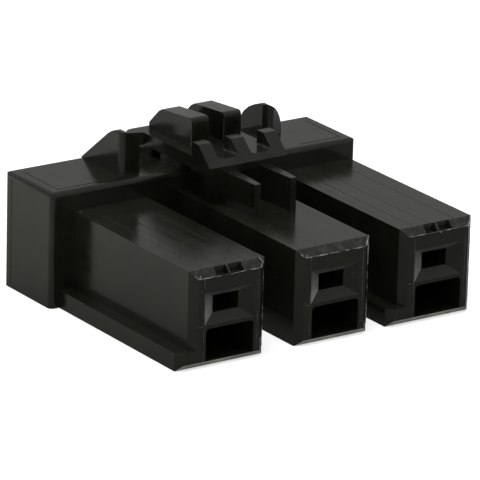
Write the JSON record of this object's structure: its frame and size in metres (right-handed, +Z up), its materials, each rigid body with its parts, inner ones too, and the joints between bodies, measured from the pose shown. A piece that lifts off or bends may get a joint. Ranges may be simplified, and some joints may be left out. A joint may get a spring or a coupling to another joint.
{
  "type": "power connector housing",
  "caption": "Black moulded housing for a single row of power terminals: separate square silos on a common rear block, polarising rails, guard ears and a finger latch on top.",
  "frame": {"origin": "on the underside of the middle silo, halfway between the mating face and the wire face", "axes": "+X along the row of silos, from the end with the larger overhang, -Y out of the mating face, +Z up towards the latch"},
  "size_m": [0.0295, 0.0242, 0.0139],
  "materials": {
    "black_plastic": "as moulded, semi-gloss black"
  },
  "bodies": {
    "root": {"housing": "black_plastic"}
  },
  "joints": []
}
